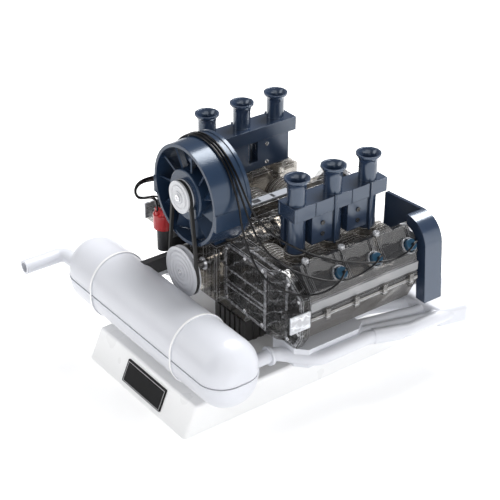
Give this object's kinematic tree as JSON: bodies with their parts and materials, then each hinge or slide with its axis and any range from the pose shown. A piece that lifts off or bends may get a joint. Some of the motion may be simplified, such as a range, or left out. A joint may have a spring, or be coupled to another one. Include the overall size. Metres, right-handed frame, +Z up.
{
  "type": "four stroke engine model",
  "caption": "See-through teaching model of a flat four-stroke engine with crank, pistons, cams, fan, intakes and exhausts on a white plinth",
  "frame": {"origin": "Middle of the plinth's underside, where the model rests on a table.", "axes": "+Z is up. +Y runs back along the crankshaft, away from the silencer and the fan belt. +X runs along the right bank's cylinders, to the right of someone who stands behind the silencer and looks along +Y."},
  "size_m": [0.2139, 0.2461, 0.1783],
  "materials": {
    "white_plastic": "moulded, semi-gloss",
    "label_card": "thin bare plate",
    "smoky_plastic": "see-through, smoky",
    "clear_plastic": "see-through, clear",
    "barrel_plastic": "see-through, brown",
    "slate_plastic": "dark slate, glossy",
    "dark_plastic": "dark grey",
    "grey_plastic": "pale grey moulded",
    "light_plastic": "light grey moulded",
    "steel_look": "bright metal",
    "piston_metal": "satin",
    "cooler_metal": "satin",
    "black_rubber": "black, soft",
    "lead_rubber": "black insulated lead",
    "red_plastic": "red, glossy",
    "teal_plastic": "teal, glossy",
    "chain_metal": "dull steel",
    "screw_metal": "plated"
  },
  "bodies": {
    "engine": {"base_plinth": "white_plastic", "base_floor": "white_plastic", "label_plate": "label_card", "crankcase_right": "smoky_plastic", "crankcase_left": "smoky_plastic", "cylinder_barrels": "barrel_plastic", "cylinder_head_right": "smoky_plastic", "cylinder_head_left": "smoky_plastic", "valves": "steel_look", "upper_valve_cover_right": "clear_plastic", "upper_valve_cover_left": "clear_plastic", "lower_valve_cover_right": "clear_plastic", "lower_valve_cover_left": "clear_plastic", "chain_cover_right": "clear_plastic", "chain_cover_left": "clear_plastic", "timing_chains": "chain_metal", "bell_housing": "clear_plastic", "fan_housing": "slate_plastic", "alternator": "dark_plastic", "intake_right": "slate_plastic", "intake_left": "slate_plastic", "oil_cooler_shroud": "slate_plastic", "oil_cooler": "cooler_metal", "silencer_upper": "grey_plastic", "silencer_lower": "grey_plastic", "tail_pipe": "grey_plastic", "exhaust_right": "grey_plastic", "exhaust_left": "grey_plastic", "silencer_bracket": "dark_plastic", "distributor_body": "dark_plastic", "distributor_cap": "red_plastic", "plug_caps": "teal_plastic", "v_belt": "black_rubber", "case_screws": "screw_metal", "ignition_lead_1": "lead_rubber", "ignition_lead_2": "lead_rubber", "ignition_lead_3": "lead_rubber", "ignition_lead_4": "lead_rubber", "ignition_lead_5": "lead_rubber", "ignition_lead_6": "lead_rubber"},
    "crank": {"crankshaft": "steel_look", "crank_pulley": "light_plastic", "flywheel": "dark_plastic"},
    "fan": {"cooling_fan": "slate_plastic", "fan_pulley": "white_plastic"},
    "cam_right": {"camshaft_right": "steel_look"},
    "cam_left": {"camshaft_left": "steel_look"},
    "rotor": {"distributor_rotor": "light_plastic"},
    "piston_1": {"piston_1": "piston_metal"},
    "rod_1": {"connecting_rod_1": "steel_look"},
    "piston_2": {"piston_2": "piston_metal"},
    "rod_2": {"connecting_rod_2": "steel_look"},
    "piston_3": {"piston_3": "piston_metal"},
    "rod_3": {"connecting_rod_3": "steel_look"},
    "piston_4": {"piston_4": "piston_metal"},
    "rod_4": {"connecting_rod_4": "steel_look"},
    "piston_5": {"piston_5": "piston_metal"},
    "rod_5": {"connecting_rod_5": "steel_look"},
    "piston_6": {"piston_6": "piston_metal"},
    "rod_6": {"connecting_rod_6": "steel_look"}
  },
  "joints": [
    {"name": "crank_spin", "type": "hinge", "parent": "engine", "child": "crank", "pos_m": [0, 0, 0.085], "axis": [0, 1, 0], "continuous": true},
    {"name": "fan_spin", "type": "hinge", "parent": "engine", "child": "fan", "pos_m": [0, 0, 0.1409], "axis": [0, 1, 0], "continuous": true},
    {"name": "cam_right_spin", "type": "hinge", "parent": "engine", "child": "cam_right", "pos_m": [0.0765, 0, 0.085], "axis": [0, 1, 0], "continuous": true},
    {"name": "cam_left_spin", "type": "hinge", "parent": "engine", "child": "cam_left", "pos_m": [-0.0765, 0, 0.085], "axis": [0, 1, 0], "continuous": true},
    {"name": "rotor_spin", "type": "hinge", "parent": "engine", "child": "rotor", "pos_m": [-0.042, -0.0405, 0.09], "axis": [0, 0, 1], "continuous": true},
    {"name": "piston_1_slide", "type": "slide", "parent": "engine", "child": "piston_1", "axis": [-1, 0, 0], "range_m": [-0.0165, 0]},
    {"name": "rod_1_swing", "type": "hinge", "parent": "piston_1", "child": "rod_1", "pos_m": [-0.04075, 0.0053, 0.085], "axis": [0, 1, 0], "range_deg": [-14.71, 14.71]},
    {"name": "piston_2_slide", "type": "slide", "parent": "engine", "child": "piston_2", "axis": [-1, 0, 0], "range_m": [-0.00333, 0.01317]},
    {"name": "rod_2_swing", "type": "hinge", "parent": "piston_2", "child": "rod_2", "pos_m": [-0.02758, 0.0348, 0.085], "axis": [0, 1, 0], "range_deg": [-27.41, 2.01]},
    {"name": "piston_3_slide", "type": "slide", "parent": "engine", "child": "piston_3", "axis": [-1, 0, 0], "range_m": [-0.00333, 0.01317]},
    {"name": "rod_3_swing", "type": "hinge", "parent": "piston_3", "child": "rod_3", "pos_m": [-0.02758, 0.0643, 0.085], "axis": [0, 1, 0], "range_deg": [-2.01, 27.41]},
    {"name": "piston_4_slide", "type": "slide", "parent": "engine", "child": "piston_4", "axis": [1, 0, 0], "range_m": [-0.0165, 0]},
    {"name": "rod_4_swing", "type": "hinge", "parent": "piston_4", "child": "rod_4", "pos_m": [0.04075, -0.0036, 0.085], "axis": [0, 1, 0], "range_deg": [-14.71, 14.71]},
    {"name": "piston_5_slide", "type": "slide", "parent": "engine", "child": "piston_5", "axis": [1, 0, 0], "range_m": [-0.00333, 0.01317]},
    {"name": "rod_5_swing", "type": "hinge", "parent": "piston_5", "child": "rod_5", "pos_m": [0.02758, 0.0259, 0.085], "axis": [0, 1, 0], "range_deg": [-27.41, 2.01]},
    {"name": "piston_6_slide", "type": "slide", "parent": "engine", "child": "piston_6", "axis": [1, 0, 0], "range_m": [-0.00333, 0.01317]},
    {"name": "rod_6_swing", "type": "hinge", "parent": "piston_6", "child": "rod_6", "pos_m": [0.02758, 0.0554, 0.085], "axis": [0, 1, 0], "range_deg": [-2.01, 27.41]}
  ],
  "couplings": [
    {"joint": "fan_spin", "follows": "crank_spin", "ratio": 1.5818},
    {"joint": "cam_right_spin", "follows": "crank_spin", "ratio": 0.5},
    {"joint": "cam_left_spin", "follows": "crank_spin", "ratio": 0.5},
    {"joint": "rotor_spin", "follows": "crank_spin", "ratio": 0.5}
  ]
}
